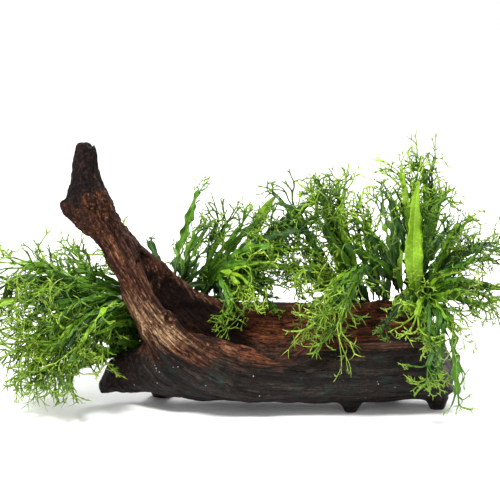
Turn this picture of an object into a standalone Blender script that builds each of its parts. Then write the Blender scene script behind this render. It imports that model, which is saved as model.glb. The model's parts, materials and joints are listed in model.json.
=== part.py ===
"""Java fern on driftwood: a scooped-out driftwood log with four lace java ferns growing on it.

The wood lies along X with its hollow open to the front (-Y) and up. A raised branch stands at
the left end (-X). Each fern is a creeping rhizome on the wood with fronds that arch away from it.
The wood stands on flats at z = 0. Lengths in the tables below are millimetres.
"""

import math
import random

import bmesh
import bpy
from mathutils import Matrix, Vector, noise
from mathutils.bvhtree import BVHTree

MM = 0.001
GAP = 0.3          # clearance between pieces that touch, mm
SEED = 11

# Driftwood ------------------------------------------------------------------------------------
LIMB_SIDES = 20
WOOD_VOXEL = 2.4
WOOD_TRIANGLES = 3600
GRAIN_DEPTH = 1.5          # how far the weathered surface rises and falls
GRAIN_LENGTH = 42.0        # length of the long ridges along the log
GRAIN_WIDTH = 9.0          # distance between them

# Each limb is rows of (x, y, z, half height, half depth): ellipses along its centre line.
LOG = [
    (-106, 9, 23, 9, 12), (-92, 8, 26, 14, 24), (-72, 5, 34, 27, 36), (-45, 3, 40, 35, 42),
    (-10, 1, 39, 35, 43), (30, 0, 39, 35, 43), (75, 0, 40, 36, 44), (115, 1, 40, 36, 43),
    (145, 2, 38, 33, 41), (164, 2, 33, 27, 37), (172, 2, 26, 19, 30),
]
RAISED_BRANCH = [
    (-128.5, 1, 217, 8.5, 8), (-129, 1, 207, 10, 9.5), (-129.5, 1, 195, 11, 11), (-129.5, 1, 182, 14, 13),
    (-129, 1, 172, 17.5, 16), (-125.5, 1, 162, 19, 18), (-116.5, 1, 149, 15, 16), (-107.5, 1, 136, 13, 15.5),
    (-99, 0, 121, 13, 17), (-91, -4, 104, 12.5, 17), (-84, -11, 87, 12.5, 15.5), (-73, -18, 68, 15, 16),
    (-56, -24, 51, 18.5, 18), (-34, -26, 36, 19, 18), (0, -25, 27, 17, 18), (36, -24, 24, 15, 15),
]
REAR_RIDGE = [
    (-109, 6, 137, 8, 10), (-98, 10, 131, 9.5, 11), (-85, 18, 113, 10.5, 12), (-69, 26, 95, 12, 13),
    (-48, 32, 79, 12, 12), (-28, 35, 69, 11, 11), (10, 36, 66, 11, 11), (70, 36, 66, 11, 11),
    (118, 34, 69, 11, 11), (138, 30, 66, 10, 10),
]
REAR_WALL = [
    (-84, 14, 93, 16, 12), (-73, 21, 77, 20, 13), (-61, 27, 64, 26, 14), (-42, 31, 54, 26, 13),
    (-18, 33, 50, 24, 12),
]
POINTED_FOOT = [
    (-124, 8, 15, 3.5, 4), (-116, 8, 20, 9, 9), (-104, 9, 23, 13, 16), (-90, 10, 25, 15, 22),
    (-66, 10, 30, 22, 28),
]
LEFT_KNOB = [(-124, 1, 165, 13, 13), (-141, 0, 166, 10, 11), (-151, -1, 166, 5.5, 6)]
BACK_KNOB = [(-112, 2, 142, 10, 11), (-102, 8, 141, 8, 9), (-96, 11, 138, 5.5, 6.5)]
FRONT_NUB = [(82, -8, 18, 11, 9), (82, -16, 6, 8, 8), (82, -17, -3, 7, 7)]
RIGHT_NUB = [(150, -2, 18, 11, 11), (153, -9, 7, 9, 8), (153, -10, -3, 7, 7)]
REAR_NUB = [(112, 16, 20, 14, 14), (114, 24, 8, 11, 11), (114, 26, -3, 9, 9)]
LEFT_KEEL = [(-70, 18, 10, 8, 9), (-71, 25, 4, 10, 11), (-71, 31, 2, 10, 10), (-70, 36, 7, 7, 7)]
LIMBS = (LOG, RAISED_BRANCH, REAR_RIDGE, REAR_WALL, POINTED_FOOT, LEFT_KNOB, BACK_KNOB,
         FRONT_NUB, RIGHT_NUB, REAR_NUB, LEFT_KEEL)

# The scoop that hollows the log: (x, floor y, floor z, tilt in degrees, half width, half rise).
# It is a deep narrow trough at the left and a broad sloping face at the right.
SCOOP = [
    (-89, 3, 84, 0, 5, 30), (-77, 3, 54, 0, 12, 44), (-58, 3, 37, 2, 19, 52),
    (-34, 4, 32, 6, 23, 54), (-8, 2, 34, 12, 30, 54), (22, 0, 42, 21, 44, 54),
    (55, -3, 51, 27, 75, 58), (100, -4, 55, 28, 115, 62), (190, -4, 58, 28, 115, 62),
]
STUB_NOTCH = (-125, -4, 216)        # a split in the top of the stub
END_PLANE_POINT = (155, 0, 42)      # the old sawn end at the right, leaning back over the log
END_PLANE_NORMAL = (0.86, -0.18, 0.47)

# Main forks: a point on each dividing plane and its normal.
BRANCH_FORK = ((-93, 0, 118), (-0.62, 0.0, 0.78))
ARM_DIVIDE_Y = 4.0
ARM_LOW_Z = 56.0
ARM_RIGHT_X = -40.0
FOOT_X = -95.0
FOOT_TOP_Z = 52.0

# Ferns ----------------------------------------------------------------------------------------
# Guide points of each rhizome; the rhizome itself is seated on the wood beside them.
RHIZOMES = {
    "left": [(-108, 26, 40), (-98, 36, 44), (-86, 43, 50), (-72, 47, 56)],
    "middle": [(-74, 48, 98), (-54, 52, 86), (-34, 54, 76), (-14, 54, 72)],
    "centre": [(70, 56, 72), (86, 56, 72), (102, 56, 74), (116, 54, 78)],
    "right": [(122, 44, 82), (130, 34, 82), (136, 22, 82), (140, 10, 80), (144, -4, 72)],
}
RHIZOME_RADIUS = 3.2
STALK = 1.5                # width and thickness of a frond's stalk
BLADE_THICKNESS = 0.9
LACE_THICKNESS = 1.6
FLOOR_CLEARANCE = 0.4
FACING = (0.0, -1.0, 0.75)  # the way the blades tend to face: forward and up
TRIES = 400                # places tried for one frond before giving up
TRY_STEP = 0.07            # how much further from its wanted place each try may go

# Fronds: (tip x, y, z, arch, bow, blade width, lace width).
# Arch lifts the middle of the frond and bow swings it sideways, as shares of its length.
FRONDS = {
    "left": [
        (-192, 20, 124, 0.16, 0.06, 11, 24), (-170, 60, 122, 0.14, -0.06, 10, 24),
        (-214, 2, 104, 0.26, 0.06, 12, 26), (-200, 52, 86, 0.24, -0.06, 10, 24),
        (-226, 22, 62, 0.34, 0.04, 11, 26), (-200, -16, 56, 0.30, 0.08, 12, 24),
        (-154, -34, 38, 0.36, 0.10, 10, 24), (-190, -26, 7, 0.42, 0.08, 11, 22),
        (-158, -30, 10, 0.40, 0.12, 10, 24), (-134, 72, 130, 0.10, -0.08, 10, 22),
        (-186, -6, 88, 0.26, 0.08, 12, 24), (-164, 84, 26, 0.36, -0.08, 10, 24),
        (-128, 104, 88, 0.22, -0.05, 11, 26),
    ],
    "middle": [
        (-84, 70, 128, 0.14, 0.10, 9, 20), (-34, 52, 182, 0.06, 0.14, 10, 22),
        (-26, 36, 154, 0.16, -0.10, 9, 20), (-66, 112, 104, 0.24, 0.05, 11, 26),
        (-8, 60, 164, 0.10, -0.10, 10, 22), (24, 10, 98, 0.34, -0.08, 11, 24),
        (-8, -10, 50, 0.46, -0.04, 9, 20), (26, 50, 168, 0.10, 0.10, 14, 20),
        (46, 34, 148, 0.22, -0.06, 12, 24),
    ],
    "centre": [
        (8, 62, 164, 0.26, 0.08, 11, 24), (32, 18, 108, 0.32, 0.08, 10, 26),
        (44, 54, 180, 0.18, 0.08, 11, 24), (44, -28, 54, 0.42, 0.10, 10, 24),
        (64, 58, 188, 0.12, 0.08, 11, 26), (60, 122, 112, 0.24, 0.06, 11, 26),
        (60, -46, 40, 0.46, 0.08, 10, 24), (84, 54, 168, 0.14, 0.10, 10, 24),
        (112, 124, 92, 0.28, -0.05, 11, 26),
    ],
    "right": [
        (80, 28, 140, 0.22, 0.08, 11, 24), (128, 108, 162, 0.16, 0.05, 11, 26),
        (122, 34, 212, 0.04, 0.09, 10, 24), (172, 112, 116, 0.24, -0.05, 11, 26),
        (144, 46, 208, 0.04, -0.09, 11, 24), (222, 34, 118, 0.22, -0.07, 11, 26),
        (160, 20, 186, 0.06, -0.06, 10, 24), (190, 26, 164, 0.10, -0.10, 10, 22),
        (206, 0, 134, 0.18, -0.08, 11, 24), (184, -18, 104, 0.22, -0.05, 11, 24),
        (212, -12, 76, 0.26, -0.06, 10, 26), (136, 2, 186, 0.03, -0.05, 15, 18),
        (98, -44, 60, 0.40, 0.10, 11, 24), (168, -50, 18, 0.34, -0.08, 10, 22),
        (160, -78, 5, 0.38, 0.06, 10, 22),
    ],
}

# Bunches of young fronds: (plant, share along its rhizome, tip x, y, z, half width of the far end).
YOUNG_BUNCHES = {
    "left": ("left", 0.02, -152, -8, 30, 13),
    "middle": ("middle", 0.92, 6, 16, 94, 15),
    "centre": ("centre", 0.30, 58, 16, 118, 16),
    "right": ("right", 0.98, 142, -44, 58, 14),
    "back": ("centre", 0.10, 42, 104, 92, 15),
}

# Colour, roughness and metallic value of each kind of piece.
WOOD_DARK = ((0.075, 0.042, 0.028), 0.72, 0.0)
WOOD_RED = ((0.17, 0.075, 0.036), 0.75, 0.0)
RHIZOME_FINISH = ((0.050, 0.052, 0.018), 0.65, 0.0)
LEAF_DARK = ((0.030, 0.115, 0.014), 0.42, 0.0)
LEAF_MID = ((0.085, 0.235, 0.022), 0.45, 0.0)
LEAF_LIME = ((0.270, 0.440, 0.050), 0.48, 0.0)


def clear_scene():
    for old in list(bpy.data.objects):
        bpy.data.objects.remove(old, do_unlink=True)


def new_collection(name):
    made = bpy.data.collections.new(name)
    bpy.context.scene.collection.children.link(made)
    return made


def finish(name, values):
    colour, roughness, metallic = values
    made = bpy.data.materials.new(name)
    made.use_nodes = True
    shader = made.node_tree.nodes["Principled BSDF"]
    shader.inputs["Base Color"].default_value = (*colour, 1.0)
    shader.inputs["Roughness"].default_value = roughness
    shader.inputs["Metallic"].default_value = metallic
    return made


def add_object(name, mesh, collection):
    made = bpy.data.objects.new(name, mesh)
    collection.objects.link(made)
    return made


def evaluated_mesh(source):
    """The object's mesh with its modifiers, in world space."""
    bpy.context.view_layer.update()
    graph = bpy.context.evaluated_depsgraph_get()
    mesh = bpy.data.meshes.new_from_object(source.evaluated_get(graph))
    mesh.transform(source.matrix_world)
    return mesh


def remove(objects):
    for item in objects:
        bpy.data.objects.remove(item, do_unlink=True)


# Lofts ----------------------------------------------------------------------------------------
def loft(name, rings, strip=False):
    """A closed mesh through rings of points that all have the same count.

    The two broad sides of a thin strip are divided along matching diagonals.
    """
    work = bmesh.new()
    rows = [[work.verts.new(point) for point in ring] for ring in rings]
    count = len(rows[0])
    for low, high in zip(rows, rows[1:]):
        for i in range(count):
            j = (i + 1) % count
            corners = [low[i], low[j], high[j], high[i]]
            if not strip:
                work.faces.new(corners)
                continue
            if i >= count // 2:
                corners = corners[1:] + corners[:1]
            work.faces.new(corners[:3])
            work.faces.new((corners[0], corners[2], corners[3]))
    work.faces.new(list(reversed(rows[0])))
    work.faces.new(rows[-1])
    bmesh.ops.recalc_face_normals(work, faces=work.faces)
    mesh = bpy.data.meshes.new(name)
    work.to_mesh(mesh)
    work.free()
    return mesh


def ellipse(centre, across, upward, half_across, half_up):
    ring = []
    for i in range(LIMB_SIDES):
        angle = math.tau * i / LIMB_SIDES
        ring.append(centre + across * half_across * math.cos(angle) + upward * half_up * math.sin(angle))
    return ring


def limb_mesh(rows):
    """A limb of elliptical sections square to its centre line."""
    centres = [Vector(row[:3]) * MM for row in rows]
    rings = []
    for i, row in enumerate(rows):
        ahead = centres[min(i + 1, len(rows) - 1)]
        behind = centres[max(i - 1, 0)]
        along = (ahead - behind).normalized()
        guide = Vector((0, 1, 0)) if abs(along.y) < 0.8 else Vector((1, 0, 0))
        depth = (guide - along * guide.dot(along)).normalized()
        height = along.cross(depth)
        rings.append(ellipse(centres[i], height, depth, row[3] * MM, row[4] * MM))
    return loft("limb", rings)


def scoop_mesh():
    """The hollow: ellipses that stand on the trough's floor and lean with its slope."""
    rings = []
    for x, floor_y, floor_z, tilt, half_width, half_rise in SCOOP:
        slope = math.radians(tilt)
        across = Vector((0, math.cos(slope), math.sin(slope)))
        upward = Vector((0, -math.sin(slope), math.cos(slope)))
        centre = Vector((x, floor_y, floor_z)) * MM + upward * half_rise * MM
        rings.append(ellipse(centre, across, upward, half_width * MM, half_rise * MM))
    return loft("scoop", rings)


# Driftwood ------------------------------------------------------------------------------------
def voxel_union(mesh, size, collection):
    """One clean skin around overlapping limbs, lightly smoothed."""
    holder = add_object("wood_in_progress", mesh, collection)
    remesh = holder.modifiers.new("Skin", "REMESH")
    remesh.mode = "VOXEL"
    remesh.voxel_size = size * MM
    smooth = holder.modifiers.new("Soften", "SMOOTH")
    smooth.factor = 0.5
    smooth.iterations = 5
    made = evaluated_mesh(holder)
    remove([holder])
    return made


def joined(meshes):
    work = bmesh.new()
    for mesh in meshes:
        work.from_mesh(mesh)
    made = bpy.data.meshes.new("limbs")
    work.to_mesh(made)
    work.free()
    return made


def boolean(mesh, cutter, operation, collection):
    """The mesh after one exact Boolean with a cutter object."""
    holder = add_object("wood_in_progress", mesh, collection)
    cut = holder.modifiers.new("Cut", "BOOLEAN")
    cut.operation = operation
    cut.object = cutter
    cut.solver = "EXACT"
    made = evaluated_mesh(holder)
    remove([holder])
    return made


def cutter(name, mesh, collection):
    made = add_object(name, mesh, collection)
    made.hide_render = True
    made.display_type = "WIRE"
    return made


def box_cutter(name, low, high, collection, rotation=None, pivot=None):
    """A box between two corners in millimetres, turned about a pivot if one is given."""
    bpy.ops.mesh.primitive_cube_add(size=1.0)
    cube = bpy.context.active_object
    mesh = cube.data
    size = [(b - a) * MM for a, b in zip(low, high)]
    centre = [(b + a) / 2 * MM for a, b in zip(low, high)]
    mesh.transform(Matrix.Translation(centre) @ Matrix.Diagonal((*size, 1.0)))
    if rotation is not None:
        origin = Matrix.Translation(Vector(pivot) * MM)
        mesh.transform(origin @ rotation @ origin.inverted())
    bpy.data.objects.remove(cube)
    return cutter(name, mesh, collection)


def half_space(name, point, normal, offset, collection):
    """A large box that fills the side of a plane its normal points to."""
    reach = 400.0
    turn = Vector((0, 0, 1)).rotation_difference(Vector(normal)).to_matrix().to_4x4()
    x, y, z = point
    low = (x - reach, y - reach, z + offset)
    high = (x + reach, y + reach, z + reach)
    return box_cutter(name, low, high, collection, turn, point)


def weather(mesh):
    """Long low ridges along the log and shallow dents between them."""
    normals = [vertex.normal.copy() for vertex in mesh.vertices]
    for vertex, normal in zip(mesh.vertices, normals):
        place = vertex.co / MM
        stretched = Vector((place.x / GRAIN_LENGTH, place.y / GRAIN_WIDTH, place.z / GRAIN_WIDTH))
        if place.z > 95:
            stretched = Vector((place.x / GRAIN_WIDTH, place.y / GRAIN_WIDTH, place.z / GRAIN_LENGTH))
        ridges = noise.noise(stretched)
        dents = noise.noise(place / 24.0 + Vector((7, 3, 5)))
        vertex.co += normal * (ridges * GRAIN_DEPTH + dents * GRAIN_DEPTH * 1.2) * MM


def reduced(mesh, triangles, collection):
    """The mesh with about the given number of triangles."""
    mesh.calc_loop_triangles()
    holder = add_object("wood_in_progress", mesh, collection)
    collapse = holder.modifiers.new("Coarsen", "DECIMATE")
    collapse.ratio = triangles / len(mesh.loop_triangles)
    collapse.use_collapse_triangulate = True
    made = evaluated_mesh(holder)
    remove([holder])
    return made


def largest_island(mesh):
    """Only the largest connected body of the mesh."""
    work = bmesh.new()
    work.from_mesh(mesh)
    bmesh.ops.remove_doubles(work, verts=work.verts, dist=0.00002)
    bmesh.ops.dissolve_degenerate(work, edges=work.edges, dist=0.00001)
    left = set(work.verts)
    islands = []
    while left:
        island = {left.pop()}
        edge_of = list(island)
        while edge_of:
            vertex = edge_of.pop()
            for edge in vertex.link_edges:
                other = edge.other_vert(vertex)
                if other in left:
                    left.discard(other)
                    island.add(other)
                    edge_of.append(other)
        islands.append(island)
    islands.sort(key=len, reverse=True)
    for island in islands[1:]:
        bmesh.ops.delete(work, geom=list(island), context="VERTS")
    bmesh.ops.triangulate(work, faces=work.faces)
    work.to_mesh(mesh)
    work.free()
    return mesh


def whole_driftwood(cutters):
    """The driftwood before it is divided at its forks."""
    mesh = voxel_union(joined([limb_mesh(rows) for rows in LIMBS]), WOOD_VOXEL, cutters)
    scoop = cutter("scoop_cutter", scoop_mesh(), cutters)
    mesh = boolean(mesh, scoop, "DIFFERENCE", cutters)
    mesh = voxel_union(mesh, WOOD_VOXEL, cutters)
    weather(mesh)
    mesh = reduced(mesh, WOOD_TRIANGLES, cutters)
    sawn = half_space("sawn_end_cutter", END_PLANE_POINT, END_PLANE_NORMAL, 0.0, cutters)
    mesh = boolean(mesh, sawn, "DIFFERENCE", cutters)
    x, y, z = STUB_NOTCH
    notch = box_cutter("stub_notch_cutter", (x - 2, y - 9, z - 3), (x + 2, y + 9, z + 12), cutters,
                       Matrix.Rotation(math.radians(24), 4, "Y"), STUB_NOTCH)
    mesh = boolean(mesh, notch, "DIFFERENCE", cutters)
    ground = box_cutter("ground_cutter", (-300, -300, -60), (300, 300, 0), cutters)
    mesh = boolean(mesh, ground, "DIFFERENCE", cutters)
    return largest_island(mesh)


def arm_box(name, margin, side, cutters):
    """The space of the front (side -1) or rear (side 1) arm, grown by a margin."""
    low_y = -200.0 if side < 0 else ARM_DIVIDE_Y - margin
    high_y = ARM_DIVIDE_Y + margin if side < 0 else 200.0
    low = (-300.0, low_y, ARM_LOW_Z - margin)
    high = (ARM_RIGHT_X + margin, high_y, 300.0)
    return box_cutter(name, low, high, cutters)


def split_driftwood(whole, cutters):
    """The driftwood's pieces, divided at its main forks with a gap between them."""
    half = GAP / 2
    point, normal = BRANCH_FORK
    above = half_space("branch_fork_upper_cutter", point, normal, half, cutters)
    above_grown = half_space("branch_fork_lower_cutter", point, normal, -half, cutters)
    pieces = {"driftwood_branch": boolean(whole.copy(), above, "INTERSECT", cutters)}
    rest = boolean(whole, above_grown, "DIFFERENCE", cutters)
    for name, side in (("front", -1), ("rear", 1)):
        kept = arm_box(f"{name}_arm_cutter", -half, side, cutters)
        pieces[f"driftwood_{name}_arm"] = boolean(rest.copy(), kept, "INTERSECT", cutters)
    for name, side in (("front", -1), ("rear", 1)):
        grown = arm_box(f"{name}_arm_room_cutter", half, side, cutters)
        rest = boolean(rest, grown, "DIFFERENCE", cutters)
    foot = box_cutter("foot_cutter", (-300, -200, -50), (FOOT_X - half, 200, FOOT_TOP_Z - half), cutters)
    room = box_cutter("foot_room_cutter", (-300, -200, -50), (FOOT_X + half, 200, FOOT_TOP_Z + half), cutters)
    pieces["driftwood_foot"] = boolean(rest.copy(), foot, "INTERSECT", cutters)
    pieces["driftwood_log"] = boolean(rest, room, "DIFFERENCE", cutters)
    return {name: largest_island(mesh) for name, mesh in pieces.items()}


# Ferns ----------------------------------------------------------------------------------------
def tree_of(mesh):
    mesh.calc_loop_triangles()
    points = [vertex.co.copy() for vertex in mesh.vertices]
    return BVHTree.FromPolygons(points, [tuple(t.vertices) for t in mesh.loop_triangles])


def smooth_line(points, count):
    """Evenly spread points on a smooth line through the given ones."""
    padded = [points[0] * 2 - points[1], *points, points[-1] * 2 - points[-2]]
    made = []
    spans = len(points) - 1
    for i in range(count):
        place = spans * i / (count - 1)
        span = min(int(place), spans - 1)
        t = place - span
        a, b, c, d = padded[span:span + 4]
        made.append(0.5 * (2 * b + (c - a) * t + (2 * a - 5 * b + 4 * c - d) * t ** 2
                           + (3 * b - a - 3 * c + d) * t ** 3))
    return made


def seated_line(guides, wood_trees, lift):
    """The guide points moved on to the wood, held off its surface by a lift."""
    seated = []
    for guide in guides:
        point = Vector(guide) * MM
        hits = [tree.find_nearest(point) for tree in wood_trees]
        nearest = min(hits, key=lambda hit: hit[3])
        outward = (point - nearest[0]).normalized()
        seated.append(nearest[0] + outward * lift * MM)
    return smooth_line(seated, 3 * len(guides))


def tube_mesh(name, line, radius, collection):
    """A rhizome: a knobbly tube along a line, with closed ends."""
    curve = bpy.data.curves.new(name, "CURVE")
    curve.dimensions = "3D"
    curve.bevel_depth = radius * MM
    curve.bevel_resolution = 1
    curve.use_fill_caps = True
    spline = curve.splines.new("POLY")
    spline.points.add(len(line) - 1)
    for i, (item, point) in enumerate(zip(spline.points, line)):
        item.co = (*point, 1.0)
        item.radius = (0.55 if i in (0, len(line) - 1) else 1.0) * (1.0 + 0.12 * math.sin(2.4 * i))
    holder = add_object(name, curve, collection)
    mesh = evaluated_mesh(holder)
    remove([holder])
    work = bmesh.new()
    work.from_mesh(mesh)
    bmesh.ops.remove_doubles(work, verts=work.verts, dist=0.00001)
    bmesh.ops.recalc_face_normals(work, faces=work.faces)
    work.to_mesh(mesh)
    work.free()
    return mesh


def overlaps(mesh, trees):
    own = tree_of(mesh)
    return any(own.overlap(tree) for tree in trees)


def rhizome(name, guides, wood_trees, collection):
    """The rhizome lies as low on the wood as it can without touching it."""
    lift = RHIZOME_RADIUS + GAP
    while True:
        line = seated_line(guides, wood_trees, lift)
        if not overlaps(tube_mesh(name, line, RHIZOME_RADIUS + GAP, collection), wood_trees):
            return line, tube_mesh(name, line, RHIZOME_RADIUS, collection)
        lift += 0.25


def frond_line(base, tip, arch, bow):
    """The centre line of a frond: a cubic from its base, raised by its arch and swung by its bow."""
    chord = tip - base
    length = chord.length
    side = Vector((-chord.y, chord.x, 0)).normalized()
    swing = Vector((0, 0, 1)) * arch * length * 1.33 + side * bow * length * 1.33
    first = base + chord * 0.22 + swing
    second = base + chord * 0.74 + swing

    def at(t):
        u = 1 - t
        return base * u ** 3 + first * 3 * u * u * t + second * 3 * u * t * t + tip * t ** 3

    return at


# Stations along a frond: (share of its length, share of blade width, share of lace width).
FROND_STATIONS = (
    (0.00, 0.0, 0.0), (0.13, 0.0, 0.0), (0.27, 0.55, 0.0), (0.42, 1.0, 0.0),
    (0.57, 0.9, 0.0), (0.70, 0.4, 0.35), (0.85, 0.0, 1.0), (1.00, 0.0, 0.45),
)
WIDEST_STATION = 3
MOST_TWIST = 0.35          # most that a frond turns about its own line between two stations


def frond_directions(at, roll):
    """The directions along and across a frond at each station, turning gently towards its facing."""
    shares = [station[0] for station in FROND_STATIONS]
    along = [(at(min(share + 0.02, 1.0)) - at(max(share - 0.02, 0.0))).normalized() for share in shares]
    across = [None] * len(shares)
    across[WIDEST_STATION] = Matrix.Rotation(roll, 3, along[WIDEST_STATION]) @ along[WIDEST_STATION].cross(
        Vector(FACING)).normalized()
    outward = range(WIDEST_STATION + 1, len(shares))
    inward = range(WIDEST_STATION - 1, -1, -1)
    for step, order in ((1, outward), (-1, inward)):
        for i in order:
            carried = along[i - step].rotation_difference(along[i]) @ across[i - step]
            facing = Matrix.Rotation(roll, 3, along[i]) @ along[i].cross(Vector(FACING)).normalized()
            twist = math.atan2(along[i].dot(carried.cross(facing)), carried.dot(facing))
            twist = max(-MOST_TWIST, min(MOST_TWIST, twist))
            across[i] = Matrix.Rotation(twist, 3, along[i]) @ carried
    return along, across


def frond_mesh(name, at, roll, blade, lace, spare=0.0):
    """A frond's solid: a square stalk that flattens to the blade and widens round the lace."""
    rings = []
    for station, along, across in zip(FROND_STATIONS, *frond_directions(at, roll)):
        share, blade_share, lace_share = station
        centre = at(share)
        normal = across.cross(along)
        width = max(STALK, blade * blade_share + lace * lace_share)
        thickness = STALK if width == STALK else BLADE_THICKNESS
        thickness += (LACE_THICKNESS - thickness) * min(lace_share * 1.5, 1.0)
        half_w = across * (width / 2 + spare) * MM
        half_t = normal * (thickness / 2 + spare) * MM
        rings.append([centre + half_w + half_t, centre - half_w + half_t,
                      centre - half_w - half_t, centre + half_w - half_t])
    return loft(name, rings, strip=True)


def lowest(mesh):
    return min(vertex.co.z for vertex in mesh.vertices)


def grow_frond(name, base_at, row, trees, chance):
    """The frond nearest to its wanted place that touches nothing that is already there."""
    tip_x, tip_y, tip_z, arch, bow, blade, lace = row
    wanted = Vector((tip_x, tip_y, tip_z)) * MM
    for attempt in range(TRIES):
        shift = Vector([chance.uniform(-1, 1) for axis in range(3)]) * attempt * TRY_STEP * MM
        tip = wanted + shift
        tip.z = max(tip.z, (LACE_THICKNESS + FLOOR_CLEARANCE) * MM)
        base = base_at(chance.uniform(-1, 1) * min(1.0, attempt / 20), chance.uniform(-1, 1))
        loose = min(attempt, 120) / 120
        bent = arch + chance.uniform(-0.10, 0.10) * loose
        swung = bow + chance.uniform(-0.16, 0.16) * loose
        roll = chance.uniform(-0.6, 0.6) * (1 + loose)
        at = frond_line(base, tip, bent, swung)
        wide = frond_mesh(name, at, roll, blade, lace, spare=GAP)
        if lowest(wide) > FLOOR_CLEARANCE * MM and not overlaps(wide, trees):
            return frond_mesh(name, at, roll, blade, lace)
    raise RuntimeError(f"no room for {name}")


def base_on(line, share, wood_trees):
    """A function giving a frond's base, just off the rhizome, on the side away from the wood."""
    def at(along, around):
        place = max(0.0, min(1.0, share + along * 0.03)) * (len(line) - 1)
        low = min(int(place), len(line) - 2)
        point = line[low].lerp(line[low + 1], place - low)
        nearest = min((tree.find_nearest(point) for tree in wood_trees), key=lambda hit: hit[3])
        away = (point - nearest[0]).normalized()
        run = (line[low + 1] - line[low]).normalized()
        away = (away - run * away.dot(run)).normalized()
        turned = Matrix.Rotation(around * 0.9, 3, run) @ away
        return point + turned * (RHIZOME_RADIUS * 1.12 + GAP + STALK * 0.6) * MM
    return at


def bunch_mesh(name, base, tip, half_width, spare=0.0):
    """The room that a bunch of young fronds fills: a narrow foot that widens to a domed end."""
    along = (tip - base).normalized()
    across = along.cross(Vector((0, 0, 1))).normalized()
    upward = across.cross(along)
    rings = []
    for share, spread in ((0.0, 0.12), (0.3, 0.42), (0.62, 0.86), (0.86, 1.0), (1.0, 0.55)):
        size = (half_width * spread + spare) * MM
        centre = base.lerp(tip, share)
        ring = []
        for i in range(8):
            angle = math.tau * i / 8
            ring.append(centre + across * size * math.cos(angle) + upward * size * 0.7 * math.sin(angle))
        rings.append(ring)
    return loft(name, rings)


def grow_bunch(name, base_at, tip_row, half_width, trees, chance):
    wanted = Vector(tip_row) * MM
    for attempt in range(TRIES):
        shift = Vector([chance.uniform(-1, 1) for axis in range(3)]) * attempt * TRY_STEP * MM
        base = base_at(chance.uniform(-1, 1), chance.uniform(-1, 1))
        tip = wanted + shift
        base = base + (tip - base).normalized() * 1.5 * MM
        wide = bunch_mesh(name, base, tip, half_width, spare=GAP)
        if lowest(wide) > FLOOR_CLEARANCE * MM and not overlaps(wide, trees):
            return bunch_mesh(name, base, tip, half_width)
    raise RuntimeError(f"no room for {name}")


def leaf_finish(index, tip_z):
    """Older fronds are dark, upright young ones are lime."""
    if index % 4 == 0:
        return LEAF_DARK
    if index % 4 == 3 or tip_z > 190:
        return LEAF_LIME
    return LEAF_MID


def main():
    clear_scene()
    whole_object = new_collection("java_fern_on_driftwood")
    cutters = new_collection("cutters")
    chance = random.Random(SEED)
    meshes = {}
    finishes = {}

    for name, mesh in split_driftwood(whole_driftwood(cutters), cutters).items():
        meshes[name] = mesh
        finishes[name] = WOOD_RED if name in ("driftwood_branch", "driftwood_rear_arm") else WOOD_DARK
    wood_trees = [tree_of(mesh) for mesh in meshes.values()]
    trees = list(wood_trees)

    lines = {}
    for plant, guides in RHIZOMES.items():
        name = f"rhizome_{plant}"
        lines[plant], meshes[name] = rhizome(name, guides, wood_trees, cutters)
        finishes[name] = RHIZOME_FINISH
        trees.append(tree_of(meshes[name]))

    for label, (plant, share, x, y, z, half_width) in YOUNG_BUNCHES.items():
        name = f"young_fronds_{label}"
        base_at = base_on(lines[plant], share, wood_trees)
        meshes[name] = grow_bunch(name, base_at, (x, y, z), half_width, trees, chance)
        finishes[name] = LEAF_LIME
        trees.append(tree_of(meshes[name]))

    for plant, rows in FRONDS.items():
        for i, row in enumerate(rows):
            name = f"frond_{plant}_{i + 1:02d}"
            base_at = base_on(lines[plant], (i + 0.5) / len(rows), wood_trees)
            meshes[name] = grow_frond(name, base_at, row, trees, chance)
            finishes[name] = leaf_finish(i, row[2])
            trees.append(tree_of(meshes[name]))

    corners = [vertex.co for mesh in meshes.values() for vertex in mesh.vertices]
    middle_x = (min(c.x for c in corners) + max(c.x for c in corners)) / 2
    middle_y = (min(c.y for c in corners) + max(c.y for c in corners)) / 2
    stand = bpy.data.objects.new("stand_point", None)
    stand.location = (-middle_x, -middle_y, 0.0)
    whole_object.objects.link(stand)
    for name, mesh in meshes.items():
        mesh.materials.clear()
        mesh.materials.append(finish(f"{name}_finish", finishes[name]))
        made = add_object(name, mesh, whole_object)
        made.parent = stand


main()
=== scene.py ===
"""Looks of the java fern on driftwood: weathered wood, creeping rhizomes and lace-tipped fronds.

Every piece is built round the solid of its CAD node. Lengths in the tables are millimetres.
"""

import json
import math
import random

import bmesh
import bpy
import numpy as np
from mathutils import Matrix, Vector, noise
from mathutils.bvhtree import BVHTree
from mathutils.kdtree import KDTree
from numpy.linalg import norm, svd


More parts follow.
